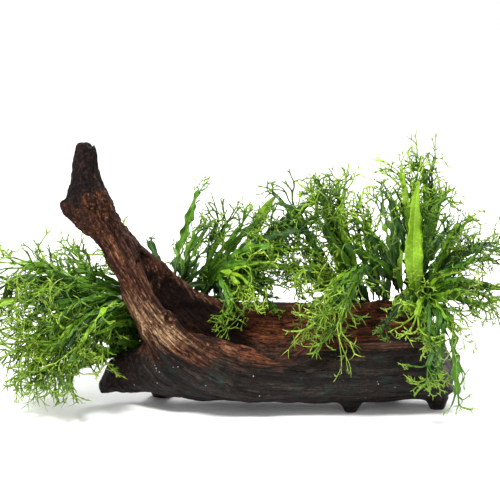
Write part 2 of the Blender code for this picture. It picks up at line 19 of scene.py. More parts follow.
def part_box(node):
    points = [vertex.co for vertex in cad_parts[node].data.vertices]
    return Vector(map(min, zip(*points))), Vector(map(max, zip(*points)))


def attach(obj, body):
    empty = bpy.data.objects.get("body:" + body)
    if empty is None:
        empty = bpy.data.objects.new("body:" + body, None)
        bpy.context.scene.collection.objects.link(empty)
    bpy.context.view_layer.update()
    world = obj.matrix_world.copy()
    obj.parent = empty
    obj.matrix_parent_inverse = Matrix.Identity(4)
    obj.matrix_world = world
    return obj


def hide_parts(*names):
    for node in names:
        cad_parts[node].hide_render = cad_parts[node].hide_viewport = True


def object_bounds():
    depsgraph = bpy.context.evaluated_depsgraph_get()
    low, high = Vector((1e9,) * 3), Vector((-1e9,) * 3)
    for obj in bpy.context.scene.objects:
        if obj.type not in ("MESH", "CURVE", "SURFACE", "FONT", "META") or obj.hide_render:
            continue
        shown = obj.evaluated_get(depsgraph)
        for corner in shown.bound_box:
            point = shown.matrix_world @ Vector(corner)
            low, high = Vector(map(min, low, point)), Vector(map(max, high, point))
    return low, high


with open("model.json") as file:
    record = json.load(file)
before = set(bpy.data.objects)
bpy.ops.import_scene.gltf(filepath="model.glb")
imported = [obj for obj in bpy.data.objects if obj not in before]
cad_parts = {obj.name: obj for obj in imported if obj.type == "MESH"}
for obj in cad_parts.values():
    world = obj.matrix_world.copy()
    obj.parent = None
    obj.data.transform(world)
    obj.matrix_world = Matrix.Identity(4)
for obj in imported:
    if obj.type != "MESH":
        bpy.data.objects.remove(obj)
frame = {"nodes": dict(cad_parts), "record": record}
cad_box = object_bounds()

MM = 0.001
SEED = 5
GOLDEN_ANGLE = 2.4
PLANTS = ("left", "middle", "centre", "right")
SLOT_OF = {row["node"]: row["material_slot"] for row in frame["record"]["subparts"]}


# Camera, light and floor ----------------------------------
CAMERA_ELEVATION = 12.0
CAMERA_DISTANCE = 1.45
VIEW_WIDTH = 0.40           # width of the view at the wood, in metres
SENSOR = 36.0
AIM = (0.0038, -0.0273, 0.130)


def add_object(name, data):
    made = bpy.data.objects.new(name, data)
    bpy.context.scene.collection.objects.link(made)
    return made


def area_light(name, place, target, size, power, colour=(1.0, 1.0, 1.0)):
    data = bpy.data.lights.new(name, "AREA")
    data.shape = "DISK"
    data.size = size
    data.energy = power
    data.color = colour
    lamp = add_object(name, data)
    lamp.location = place
    lamp.rotation_euler = (Vector(target) - Vector(place)).to_track_quat("-Z", "Y").to_euler()


def make_studio():
    slope = math.radians(CAMERA_ELEVATION)
    data = bpy.data.cameras.new("camera")
    data.sensor_width = SENSOR
    data.lens = SENSOR * CAMERA_DISTANCE / VIEW_WIDTH
    data.clip_end = 20.0
    camera = add_object("camera", data)
    back = Vector((0, -math.cos(slope), math.sin(slope)))
    camera.location = Vector(AIM) + back * CAMERA_DISTANCE
    camera.rotation_euler = (-back).to_track_quat("-Z", "Y").to_euler()
    bpy.context.scene.camera = camera

    world = bpy.data.worlds.new("studio")
    bpy.context.scene.world = world
    world.use_nodes = True
    sky = world.node_tree.nodes["Background"]
    sky.inputs["Color"].default_value = (1.0, 1.0, 1.0, 1.0)
    sky.inputs["Strength"].default_value = 1.06
    area_light("key", (-0.45, -0.60, 1.25), (0, 0, 0.06), 0.35, 24.0, (1.0, 0.985, 0.96))
    area_light("rim", (0.35, 0.95, 0.75), (0, 0, 0.10), 0.5, 10.0)
    bpy.context.scene.view_settings.view_transform = "Standard"

    bpy.ops.mesh.primitive_plane_add(size=12.0, location=(0, 0, -0.0002))
    floor = bpy.context.active_object
    floor.name = "floor"
    floor.data.materials.append(Paint("floor_white", (0.95, 0.95, 0.955, 1.0), 0.6).material)


# Node materials -------------------------------------------
class Paint:
    """A node material under construction: helpers that add nodes and link them up."""

    def __init__(self, name, colour, roughness):
        self.material = bpy.data.materials.new(name)
        self.material.use_nodes = True
        self.tree = self.material.node_tree
        self.inputs = self.tree.nodes["Principled BSDF"].inputs
        self.inputs["Base Color"].default_value = colour
        self.inputs["Roughness"].default_value = roughness
        self.count = 0

    def feed(self, socket, value):
        if hasattr(value, "is_output"):
            self.tree.links.new(value, socket)
        else:
            socket.default_value = value

    def node(self, kind, sockets, **settings):
        """Adds a node, feeds its sockets and returns its outputs."""
        made = self.tree.nodes.new(kind)
        self.count += 1
        made.location = (-220 * (self.count % 9) - 200, -170 * (self.count // 9))
        for key, value in settings.items():
            setattr(made, key, value)
        for key, value in sockets.items():
            self.feed(made.inputs[key], value)
        return made.outputs

    def mark(self, name, output="Fac"):
        return self.node("ShaderNodeAttribute", {}, attribute_name=name)[output]

    def place(self):
        return self.node("ShaderNodeTexCoord", {})["Object"]

    def stretched(self, vector, scale):
        return self.node("ShaderNodeMapping", {"Vector": vector, "Scale": scale})[0]

    def noise(self, vector, scale, detail, roughness=0.55, distortion=0.0):
        sockets = {"Vector": vector, "Scale": scale, "Detail": detail, "Roughness": roughness,
                   "Distortion": distortion}
        return self.node("ShaderNodeTexNoise", sockets)[0]

    def cells(self, vector, scale):
        return self.node("ShaderNodeTexVoronoi", {"Vector": vector, "Scale": scale})["Distance"]

    def math(self, operation, a, b=0.0, c=0.0):
        return self.node("ShaderNodeMath", {0: a, 1: b, 2: c}, operation=operation)[0]

    def times(self, a, b, plus=0.0):
        return self.math("MULTIPLY_ADD", a, b, plus)

    def ease(self, value, low, high, start=0.0, end=1.0):
        sockets = dict(enumerate((value, low, high, start, end)))
        return self.node("ShaderNodeMapRange", sockets, interpolation_type="SMOOTHSTEP")[0]

    def ramp(self, value, stops):
        made = self.node("ShaderNodeValToRGB", {0: value})[0]
        items = made.node.color_ramp.elements
        while len(items) < len(stops):
            items.new(0.5)
        for item, (position, colour) in zip(items, stops.items()):
            item.position = position
            item.color = (*colour, 1.0)
        return made

    def mix(self, factor, a, b):
        a, b = (item if hasattr(item, "is_output") else (*item, 1.0) for item in (a, b))
        return self.node("ShaderNodeMix", {0: factor, 6: a, 7: b}, data_type="RGBA")[2]

    def finish(self, colour, roughness, height, strength, distance):
        """Feeds the shader its colour, roughness and bumps, and returns the material."""
        bump = self.node("ShaderNodeBump", {"Strength": strength, "Distance": distance, "Height": height})
        for name, value in (("Base Color", colour), ("Roughness", roughness), ("Normal", bump[0])):
            self.feed(self.inputs[name], value)
        return self.material


# Driftwood ------------------------------------------------
WOOD_NODES = ("driftwood_log", "driftwood_branch", "driftwood_front_arm", "driftwood_rear_arm",
              "driftwood_foot")
WOOD_VOXEL = 1.0
WOOD_KEPT = 0.56            # share of the carved skin's triangles that is kept
SPINE_BLUR = 14.0           # how softly the grain turns from the branch into the log
SPINE_STEPS = 110
CREVICE_SHADE_RAYS = 16
CREVICE_SHADE_REACH = 26.0        # how near other wood must be to shade a place
HOLLOW_REACH = (46.0, 76.0)  # how far the hollow's shade and damp reach from its openings
KNOT_SHARE = (0.66, 0.30, 0.34)     # place of the small knot hole in the front arm's box
FORK_NORMAL = Vector((-0.62, 0.0, 0.78)).normalized()
HALF_ROOM = 0.5             # half the size of the boxes that divide the wood, in metres
FOOT_GAP = 2.0              # how far below the arms the foot's piece ends


def smoothstep(low, high, value):
    t = np.clip((value - low) / (high - low), 0.0, 1.0)
    return t * t * (3 - 2 * t)


def read_vectors(mesh, name):
    values = np.empty(len(mesh.vertices) * 3)
    mesh.vertices.foreach_get(name, values)
    return values.reshape(-1, 3)


def unit(vectors):
    return vectors / norm(vectors, axis=-1, keepdims=True)


def reach_along(points):
    """How far each point of a line lies from its start, along the line."""
    return np.concatenate(([0.0], np.cumsum(norm(np.diff(points, axis=0), axis=1))))


def read_along(places, reach, values):
    """Three-part values at places along a line where they are known at each reach."""
    return np.stack([np.interp(places, reach, values[:, k]) for k in range(3)], axis=1)


def node_points(node):
    return read_vectors(frame["nodes"][node].data, "co")


def band_centres(node, count):
    """Middles of level slices through a solid, from the top down."""
    points = node_points(node)
    edges = np.linspace(points[:, 2].min(), points[:, 2].max(), count + 1)
    bands = [points[(points[:, 2] >= a) & (points[:, 2] <= b)] for a, b in zip(edges, edges[1:])]
    return [(band.min(0) + band.max(0)) / 2 for band in bands[::-1]]


def wood_spine():
    """A line down the raised branch, through the front arm and along the log to its right end."""
    branch = band_centres("driftwood_branch", 6)
    arm = band_centres("driftwood_front_arm", 4)
    low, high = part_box("driftwood_log")
    log = [(x, low.y + 0.2 * (high.y - low.y), low.z + 0.34 * (high.z - low.z))
           for x in np.linspace(arm[-1][0] + 0.035, high.x, 7)]
    points = np.array(branch + arm[1:] + log)
    for sweep in range(2):
        points[1:-1] = (points[:-2] + 2 * points[1:-1] + points[2:]) / 4
    reach = reach_along(points)
    fine = np.linspace(0.0, reach[-1], SPINE_STEPS)
    line = read_along(fine, reach, points)
    along = unit(np.gradient(line, axis=0))
    first = np.zeros_like(along)
    guide = np.array((0.0, 1.0, 0.0))
    for i in reversed(range(len(line))):
        guide = unit(guide - along[i] * (guide @ along[i]))
        first[i] = guide
    return line, fine, (along, first, np.cross(along, first))


def grain_places(points, spine):
    """Each point's place along the grain and across it in two directions."""
    line, reach, ways = spine
    made = np.empty_like(points)
    for start in range(0, len(points), 8000):
        rows = slice(start, start + 8000)
        offset = points[rows, None, :] - line
        away = norm(offset, axis=2) ** 2
        weight = np.exp((away.min(axis=1)[:, None] - away) / (2 * (SPINE_BLUR * MM) ** 2))
        weight /= weight.sum(axis=1)[:, None]
        for k, way in enumerate(ways):
            run = (offset * way).sum(axis=2) + (0.0 if k else reach)
            made[rows, k] = (weight * run).sum(axis=1)
    return made


def noise_at(places, scale, shift=0.0):
    """Smooth noise from -1 to 1 at each place, stretched by a scale in millimetres per wave."""
    stretch = 1.0 / (np.array(scale) * MM)
    return np.array([noise.noise(Vector(p)) for p in places * stretch + shift])


def hollow_shade_share(points, normals):
    """How much each point looks into the hollow, from 0 to 1; it places the hollow's painted shade and damp.
    """
    best = np.zeros(len(points))
    for opening in frame["record"]["physics"]["openings"]:
        if not opening["name"].startswith("trough"):
            continue
        middle = np.array(opening["box_m"]).mean(axis=0)
        towards = middle - points
        away = norm(towards, axis=1)
        facing = (towards * normals).sum(axis=1) / away
        near = 1 - smoothstep(HOLLOW_REACH[0], HOLLOW_REACH[1], away / MM)
        best = np.maximum(best, smoothstep(0.2, 0.7, facing) * near)
    return best


def crevice_shade_share(mesh, surface, points, normals):
    """How far other wood closes in round each point, from 0 in the open to 1 in a deep hollow; it darkens the
    wood's colour there as painted shade.
    """
    starts = points + normals * (0.7 * MM)
    met = np.zeros(len(points))
    tried = np.full(len(points), 1e-6)
    for k in range(CREVICE_SHADE_RAYS):
        height = 1 - 2 * (k + 0.5) / CREVICE_SHADE_RAYS
        level = math.sqrt(1 - height * height)
        turn = GOLDEN_ANGLE * k
        ray = Vector((level * math.cos(turn), level * math.sin(turn), height))
        open_to = np.nonzero(normals @ np.array(ray) > 0.25)[0]
        tried[open_to] += 1
        for i in open_to:
            met[i] += surface.ray_cast(Vector(starts[i]), ray, CREVICE_SHADE_REACH * MM)[0] is not None
    share = met / tried
    ends = np.array([edge.vertices[:] for edge in mesh.edges])
    count = np.bincount(ends.ravel(), minlength=len(points)) + 1
    for sweep in range(4):
        total = share.copy()
        np.add.at(total, ends[:, 0], share[ends[:, 1]])
        np.add.at(total, ends[:, 1], share[ends[:, 0]])
        share = total / count
    return share


def modified(mesh, *steps):
    """The mesh after a row of modifiers, each given as its kind and settings."""
    holder = add_object("wood_in_progress", mesh)
    for kind, settings in steps:
        modifier = holder.modifiers.new(kind, kind)
        for name, value in settings.items():
            setattr(modifier, name, value)
    bpy.context.view_layer.update()
    graph = bpy.context.evaluated_depsgraph_get()
    made = bpy.data.meshes.new_from_object(holder.evaluated_get(graph))
    bpy.data.objects.remove(holder)
    return made


def joined_wood():
    """One smooth skin round all the driftwood's solids, without the gaps at its forks."""
    work = bmesh.new()
    for node in WOOD_NODES:
        work.from_mesh(frame["nodes"][node].data)
    bmesh.ops.remove_doubles(work, verts=work.verts, dist=1e-6)
    mesh = bpy.data.meshes.new("wood")
    work.to_mesh(mesh)
    work.free()
    return modified(mesh, ("REMESH", {"mode": "VOXEL", "voxel_size": WOOD_VOXEL * MM}),
                    ("SMOOTH", {"factor": 0.6, "iterations": 14}))


def knot_place():
    low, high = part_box("driftwood_front_arm")
    return np.array([low[k] + KNOT_SHARE[k] * (high[k] - low[k]) for k in range(3)])


def carve_wood(mesh, spine):
    """Grooves and cracks along the grain, rough bark on the swelling, the knot and small pits."""
    points, normals = (read_vectors(mesh, name) for name in ("co", "normal"))
    places = grain_places(points, spine)

    height = points[:, 2] / MM
    swelling = smoothstep(118, 150, height) * (1 - smoothstep(178, 192, height))
    stub = smoothstep(172, 190, height)
    branch = smoothstep(60, 95, height)
    under = 1 - smoothstep(2, 12, height)

    grooves = noise_at(places, (46, 5.2, 5.2))
    wide = noise_at(places, (85, 17, 17), 3.7)
    fine = noise_at(places, (24, 2.1, 2.1), 9.1)
    lumps = noise_at(points, (8, 8, 8), 1.3)
    crack_lines = noise_at(places, (60, 8.5, 8.5), 14.2)
    cracks = np.clip(1 - np.abs(crack_lines) / 0.075, 0, 1) ** 1.5
    crack_gate = smoothstep(-0.05, 0.25, noise_at(places, (50, 22, 22), 21.0))
    pits = np.clip(noise_at(points, (4.2, 4.2, 5.5), 31.0) - 0.32, 0, 1)

    bark = np.array([noise.fractal(Vector(p), 0.8, 2.1, 4) for p in points / (9.0 * MM)])

    depth = 0.85 * grooves + 1.1 * wide + 0.40 * fine
    depth += lumps * (0.4 + 0.9 * swelling) + bark * (0.25 + 1.3 * swelling + 0.5 * stub)
    depth -= cracks * crack_gate * (1.6 + 1.0 * branch)
    depth -= pits * (1.2 + 2.6 * swelling)
    depth *= 1 - 0.85 * under

    knot = knot_place()
    away = norm((points - knot) * (1.0, 0.6, 1.0), axis=1) / MM
    depth += 1.5 * np.exp(-((away - 6.0) / 2.0) ** 2) - 3.6 * np.exp(-(away / 3.2) ** 2)
    points += normals * (depth * MM)[:, None]
    x = points[:, 0] / MM
    foot = 1 - smoothstep(38, 52, height)
    shoulder = smoothstep(-121, -112, x) * (1 - smoothstep(-102, -82, x))
    shoulder *= foot * smoothstep(0.1, 0.6, normals[:, 2])
    toe = foot * (1 - smoothstep(-119, -104, x))
    points[:, 2] += (shoulder * (6.0 + 4.5 * lumps) - 6.0 * toe) * MM
    points[:, 2] = np.where(points[:, 2] < 0.5 * MM, 0.0, points[:, 2])
    mesh.vertices.foreach_set("co", points.ravel())
    mesh.update()


def coarsened(mesh):
    made = modified(mesh, ("DECIMATE", {"ratio": WOOD_KEPT}))
    for vertex in made.vertices:
        vertex.co.z = max(0.0, vertex.co.z)
    return made


def add_value(mesh, name, values):
    item = mesh.attributes.new(name, "FLOAT", "POINT")
    item.data.foreach_set("value", np.asarray(values, dtype=np.float32))


def wood_marks(mesh, surface, spine):
    """Places along the grain, and where the wood is blackened, wet, flecked or hollow, light-streaked with a
    painted highlight, or darkened by painted shade.
    """
    points, normals = (read_vectors(mesh, name) for name in ("co", "normal"))
    places = grain_places(points, spine)
    x, y, z = (points / MM).T
    drift = noise_at(places, (60, 14, 14), 40.0)
    ragged = noise_at(points, (13, 13, 16), 52.0)
    stub = smoothstep(170, 190, z - 0.7 * (x + 122) + 20 * ragged)
    upper = smoothstep(95, 135, z + 8 * drift)
    foot = (1 - smoothstep(-100, -66, x + 6 * drift)) * (1 - smoothstep(42, 62, z))
    low = 1 - smoothstep(34, 58, z + 8 * drift + 0.05 * x - 0.20 * np.maximum(x - 30, 0))
    # the trough's painted shade and damp, near its openings
    trough = hollow_shade_share(points, normals) * (1 - smoothstep(-20, 25, x))
    swelling = smoothstep(136, 156, z + 6 * ragged) * smoothstep(-146, -132, x + 5 * ragged)
    # light tan streaks on the arm's front, partly a painted highlight on the side facing the light
    arm = smoothstep(50, 70, z) * (1 - smoothstep(80, 118, z)) * (1 - smoothstep(-40, -15, x))
    front = smoothstep(0.3, 0.9, -normals[:, 1])
    log_face = smoothstep(-30, 20, x) * (1 - low)
    end_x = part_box("driftwood_log")[1].x / MM
    cut_end = smoothstep(end_x - 40, end_x - 25, x) * smoothstep(0.55, 0.8, normals[:, 0])

    return places, {"char": np.maximum(stub, foot), "wet": np.maximum(low, foot), "trough": trough,
                    "painted_crevice_shade": crevice_shade_share(mesh, surface, points, normals), "flecks": swelling,
                    "upper": upper, "pale_streaks_and_highlight": arm * front, "log_face": log_face, "cut_end": cut_end}


def mark_piece(mesh, tree, places, marks):
    """Gives each point of a piece the marks of the nearest point of the undivided wood."""
    nearest = np.array([tree.find(point)[1] for point in read_vectors(mesh, "co")])
    item = mesh.attributes.new("grain", "FLOAT_VECTOR", "POINT")
    item.data.foreach_set("vector", places[nearest].astype(np.float32).ravel())
    for name, values in marks.items():
        add_value(mesh, name, values[nearest])


# Colours of the wood, from its darkest fibres to its palest, each with its place in the tone.
WOOD_COLOURS = {
    "branch": {0.41: (0.003, 0.0012, 0.001), 0.48: (0.024, 0.009, 0.005),
               0.53: (0.082, 0.030, 0.015), 0.60: (0.270, 0.130, 0.065)},
    # light tan streaks, partly a painted highlight on the front arm
    "pale_streaks_and_highlight": {0.42: (0.005, 0.002, 0.001), 0.48: (0.044, 0.020, 0.010),
             0.53: (0.150, 0.082, 0.042), 0.59: (0.430, 0.280, 0.160)},
    "log_red": {0.41: (0.004, 0.0015, 0.001), 0.47: (0.034, 0.010, 0.005),
                0.53: (0.125, 0.038, 0.014), 0.61: (0.260, 0.110, 0.048)},
    "dark": {0.40: (0.0015, 0.001, 0.001), 0.48: (0.008, 0.0055, 0.0045),
             0.54: (0.020, 0.014, 0.011), 0.62: (0.062, 0.046, 0.036)},
    # bluish-green tint of the wet wood, partly a painted sheen
    "teal_and_sheen": {0.40: (0.002, 0.003, 0.0025), 0.53: (0.013, 0.018, 0.014), 0.62: (0.045, 0.058, 0.048)},
    # hollow: painted shade in the trough along with its damp, near black
    "hollow": {0.41: (0.001, 0.0005, 0.0004), 0.50: (0.007, 0.003, 0.002), 0.60: (0.040, 0.015, 0.008)},
    "char": {0.36: (0.0015, 0.0008, 0.0006), 0.52: (0.007, 0.0035, 0.003), 0.70: (0.036, 0.017, 0.013)},
    "fleck_red": {0.38: (0.004, 0.002, 0.0015), 0.50: (0.022, 0.009, 0.005),
                  0.58: (0.110, 0.036, 0.014), 0.70: (0.330, 0.130, 0.050)},
    "end_grey": {0.38: (0.010, 0.007, 0.006), 0.50: (0.032, 0.024, 0.021), 0.62: (0.095, 0.075, 0.068)},
}


def wood_paint():
    paint = Paint("driftwood_wood", (0.1, 0.05, 0.03, 1.0), 0.7)
    mark, ease, mix, ramp, times = paint.mark, paint.ease, paint.mix, paint.ramp, paint.times
    grain = mark("grain", "Vector")
    place = paint.place()

    def grained(scale, *settings):
        return paint.noise(paint.stretched(grain, scale), 1.0, *settings)

    streaks = grained((42, 560, 560), 9.0, 0.68, 0.5)
    bands = grained((15, 130, 130), 6.0, 0.6, 0.6)
    fibres = grained((190, 2300, 2300), 4.0, 0.65)
    wavering = grained((17, 190, 190), 3.0, 0.5, 0.4)
    patches = grained((48, 170, 170), 6.0, 0.68, 0.8)
    splits = ease(paint.math("ABSOLUTE", paint.math("SUBTRACT", wavering, 0.5)), 0.020, 0.003)
    blotches = paint.noise(place, 70.0, 6.0, 0.6)
    crumbs = paint.noise(place, 420.0, 4.0, 0.65)

    tone = times(streaks, 0.42, times(bands, 0.28))
    tone = times(fibres, 0.14, times(crumbs, 0.16, tone))
    branch, pale_streaks_and_highlight, log_red, dark, teal_and_sheen, hollow = (ramp(tone, WOOD_COLOURS[name]) for name in
                                                 ("branch", "pale_streaks_and_highlight", "log_red", "dark", "teal_and_sheen", "hollow"))
    char, fleck_red = (ramp(crumbs, WOOD_COLOURS[name]) for name in ("char", "fleck_red"))
    reach = paint.node("ShaderNodeVectorMath", {0: paint.stretched(grain, (0, 1, 1))}, operation="LENGTH")
    rings = paint.math("SINE", times(blotches, 9.0, times(reach["Value"], 1900.0)))
    end_tone = times(rings, 0.035, times(crumbs, 0.4, times(blotches, 0.6)))
    end_grey = ramp(end_tone, WOOD_COLOURS["end_grey"])

    def loosened(name, amount=0.5, sharp=0.22):
        """A mark with a blotchy edge."""
        edge = times(paint.math("SUBTRACT", blotches, 0.5), amount, mark(name))
        return ease(edge, 0.5 - sharp, 0.5 + sharp)

    sooty = times(ease(patches, 0.53, 0.46, 0.0, 0.6), mark("upper"))
    # painted glints: small white dots on the wet wood
    painted_glints = times(ease(paint.cells(place, 260.0), 0.16, 0.09),
                   ease(paint.noise(place, 120.0, 2.0), 0.60, 0.66))
    layers = ((loosened("log_face"), log_red),
              (times(loosened("flecks", 1.1), ease(blotches, 0.42, 0.56, 0.1, 0.9)), fleck_red),
              (sooty, (0.012, 0.0045, 0.003)),
              # light tan streaks with a painted highlight on the arm's front
              (times(loosened("pale_streaks_and_highlight", 1.2, 0.3), ease(bands, 0.42, 0.54, 0.25, 1.0)), pale_streaks_and_highlight),
              # the low wet wood: dark, with blotches of bluish-green tint that are partly painted sheen
              (loosened("wet", 0.8, 0.45), mix(ease(blotches, 0.50, 0.66), dark, teal_and_sheen)),
              (times(splits, 0.85), (0.003, 0.0015, 0.001)),
              # painted shade and damp in the hollow
              (loosened("trough", 0.5, 0.35), hollow),
              # painted shade: near black where other wood closes round a place
              (ease(mark("painted_crevice_shade"), 0.10, 0.75, 0.0, 0.92), (0.003, 0.0013, 0.0009)),
              (loosened("char", 1.1, 0.36), char),
              (loosened("cut_end", 0.3), end_grey),
              # painted glints on the wet wood, in near white
              (times(times(painted_glints, mark("wet")), 0.75), (0.62, 0.62, 0.60)))
    colour = branch
    for share, layer in layers:
        colour = mix(share, colour, layer)

    paint.inputs["Specular IOR Level"].default_value = 0.10
    roughness = times(mark("wet"), -0.26, ease(streaks, 0.3, 0.7, 0.62, 0.86))
    height = times(crumbs, 0.45, times(fibres, 0.35, times(streaks, 0.75)))
    return paint.finish(colour, roughness, times(splits, -0.6, height), 0.9, 0.0015)


def cut(mesh, cutter, operation):
    """The mesh after one Boolean with a box object."""
    return modified(mesh, ("BOOLEAN", {"operation": operation, "object": cutter, "solver": "MANIFOLD"}))


def box_object(low, high):
    bpy.ops.mesh.primitive_cube_add(size=1.0)
    cube = bpy.context.active_object
    size, centre = Vector(high) - Vector(low), (Vector(high) + Vector(low)) / 2
    cube.data.transform(Matrix.Translation(centre) @ Matrix.Diagonal((*size, 1.0)))
    return cube


def divide_wood(whole):
    """The carved wood divided where its CAD solids are, at the main forks."""
    offset = (node_points("driftwood_branch") @ np.array(FORK_NORMAL)).min()
    turn = Vector((0, 0, 1)).rotation_difference(FORK_NORMAL).to_matrix().to_4x4()
    above = box_object((-HALF_ROOM, -HALF_ROOM, 0.0), (HALF_ROOM, HALF_ROOM, HALF_ROOM))
    above.data.transform(Matrix.Translation(FORK_NORMAL * float(offset)) @ turn)
    front_low, front_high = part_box("driftwood_front_arm")
    rear_low, rear_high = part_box("driftwood_rear_arm")
    divide_y = (front_high.y + rear_low.y) / 2
    right_x = max(front_high.x, rear_high.x)
    floor_z = min(front_low.z, rear_low.z)
    front = box_object((-HALF_ROOM, -HALF_ROOM, floor_z), (right_x, divide_y, HALF_ROOM))
    rear = box_object((-HALF_ROOM, divide_y, floor_z), (right_x, HALF_ROOM, HALF_ROOM))
    foot_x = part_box("driftwood_foot")[1].x
    foot = box_object((-HALF_ROOM, -HALF_ROOM, -0.1), (foot_x, HALF_ROOM, floor_z - FOOT_GAP * MM))
    pieces = {}
    for name, box in (("branch", above), ("front_arm", front), ("rear_arm", rear), ("foot", foot)):
        pieces[f"driftwood_{name}"] = cut(whole.copy(), box, "INTERSECT")
        whole = cut(whole, box, "DIFFERENCE")
        bpy.data.objects.remove(box)
    pieces["driftwood_log"] = whole
    return pieces


def make_wood():
    spine = wood_spine()
    whole = joined_wood()
    carve_wood(whole, spine)
    whole = coarsened(whole)
    points = [Vector(p) for p in read_vectors(whole, "co")]
    surface = BVHTree.FromPolygons(points, [tuple(f.vertices) for f in whole.polygons])
    places, marks = wood_marks(whole, surface, spine)
    tree = KDTree(len(points))
    for index, point in enumerate(points):
        tree.insert(point, index)
    tree.balance()
    paint = wood_paint()
    for node, mesh in divide_wood(whole).items():
        mesh.materials.clear()
        mesh.materials.append(paint)
        mark_piece(mesh, tree, places, marks)
        mesh.shade_smooth()
        mesh.set_sharp_from_angle(angle=math.radians(58))
        piece = add_object(f"{node}_wood", mesh)
        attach(piece, "root")
        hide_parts(node)
    return surface


# Ferns: meshes --------------------------------------------
FERN_MARKS = ("along", "across", "crest", "tone")


class Shells:
    """Closed shells gathered into one mesh, with four marks for each point."""

    def __init__(self):
        self.points = []
        self.faces = []
        self.marks = []
        self.count = 0

    def add(self, points, faces, marks):
        self.points.append(np.array(points))
        self.faces += [tuple(i + self.count for i in face) for face in faces]
        self.marks.append(np.array(marks))
        self.count += len(points)

    def build(self, name, material):
        mesh = bpy.data.meshes.new(name)
        mesh.from_pydata(np.concatenate(self.points).tolist(), [], self.faces)
        marks = np.concatenate(self.marks)
        for index, label in enumerate(FERN_MARKS):
            add_value(mesh, label, marks[:, index])
        mesh.materials.append(material)
        mesh.shade_smooth()
        return add_object(name, mesh)


def ring_faces(rings, sides):
    """Faces between rings of points, with an end face at each end."""
    faces = []
    for k in range(rings - 1):
        for i in range(sides):
            j = (i + 1) % sides
            faces.append((k * sides + i, k * sides + j, (k + 1) * sides + j, (k + 1) * sides + i))
    faces.append(tuple(reversed(range(sides))))
    faces.append(tuple(range((rings - 1) * sides, rings * sides)))
    return faces


def solid_rings(node, sides, near):
    """The rings of a lofted CAD solid, in order from the end nearest to a set of points."""
    mesh = frame["nodes"][node].data
    index_of = {}
    points, links, same = [], [], []
    for vertex in mesh.vertices:
        key = tuple(round(c * 1e6) for c in vertex.co)
        if key not in index_of:
            index_of[key] = len(points)
            points.append(np.array(vertex.co))
            links.append(set())
        same.append(index_of[key])
    for edge in mesh.edges:
        a, b = (same[i] for i in edge.vertices)
        if a != b:
            links[a].add(b)
            links[b].add(a)
    points = np.array(points)
    first = norm(points[:, None, :] - near[None, :, :], axis=2).min(axis=1).argmin()
    ring = list(norm(points - points[first], axis=1).argsort()[:sides])
    seen = set()
    rings = []
    while ring:
        rings.append(points[ring])
        seen |= set(ring)
        ring = sorted({b for a in ring for b in links[a]} - seen)
    return rings


SWAY_LENGTH = 0.0095        # metres of blade for one radian of its to-and-fro twist
NARROWEST_BLADE = 3.0
PATH_STEPS = 90


class Path:
    """A frond's centre line with its sideways direction; maps flat frond places into space."""

    def __init__(self, centres, sides, sway=0.0, phase=0.0):
        reach = reach_along(centres)
        self.length = reach[-1]
        self.fine = np.linspace(0.0, self.length, PATH_STEPS)
        spans = np.clip(np.searchsorted(reach, self.fine, side="right") - 1, 0, len(reach) - 2)
        size = (reach[spans + 1] - reach[spans])[:, None]
        t = (self.fine - reach[spans])[:, None] / size
        slopes = np.gradient(centres, reach, axis=0)
        first, last = slopes[spans] * size, slopes[spans + 1] * size
        jump = centres[spans + 1] - centres[spans]
        bend = 3 * jump - 2 * first - last + t * (first + last - 2 * jump)
        self.line = centres[spans] + t * (first + t * bend)
        self.along = unit(np.gradient(self.line, axis=0))
        side = read_along(self.fine, reach, sides)
        self.side = unit(side - self.along * (side * self.along).sum(axis=1)[:, None])
        self.normal = np.cross(self.side, self.along)
        turn = (sway * np.sin(self.fine / SWAY_LENGTH + phase))[:, None]
        self.side, self.normal = (self.side * np.cos(turn) + self.normal * np.sin(turn),
                                  self.normal * np.cos(turn) - self.side * np.sin(turn))

    def to_space(self, flat):
        """World points for flat ones: along the frond, across it and off its face."""
        inside = np.clip(flat[:, 0], 0.0, self.length)
        line, side, normal, along = (read_along(inside, self.fine, values)
                                     for values in (self.line, self.side, self.normal, self.along))
        return line + side * flat[:, 1:2] + normal * flat[:, 2:3] + along * (flat[:, 0] - inside)[:, None]

    def moved(self, shift_across, shift_off, lean, turn, shrink, sway, phase):
        """A neighbour of this path: same foot, its tip shifted, and a little shorter."""
        keep = np.linspace(0.0, self.length * shrink, 12)
        share = (keep / self.length)[:, None] ** 1.3
        line, side, normal = (read_along(keep, self.fine, values)
                              for values in (self.line, self.side, self.normal))
        centres = line + (side * shift_across + normal * shift_off + lean) * share
        return Path(centres, side * math.cos(turn) + normal * math.sin(turn), sway, phase)


def frond_path(node, rhizome, sway, phase):
    """The path of a frond's solid from its foot on the rhizome, and the widths of its rings."""
    rings = solid_rings(node, 4, rhizome)
    centres = np.array([ring.mean(axis=0) for ring in rings])
    sides, widths = [], []
    for ring, centre in zip(rings, centres):
        spread = ring - centre
        sides.append(svd(spread)[2][0])
        widths.append(2 * np.abs(spread @ sides[-1]).max())
    first_wide = next(k for k, width in enumerate(widths) if width > NARROWEST_BLADE * MM)
    sides[:first_wide] = [sides[first_wide]] * first_wide
    for k in range(len(sides) - 2, -1, -1):
        if sides[k] @ sides[k + 1] < 0:
            sides[k] = -sides[k]
    return Path(centres, np.array(sides), sway, phase), widths


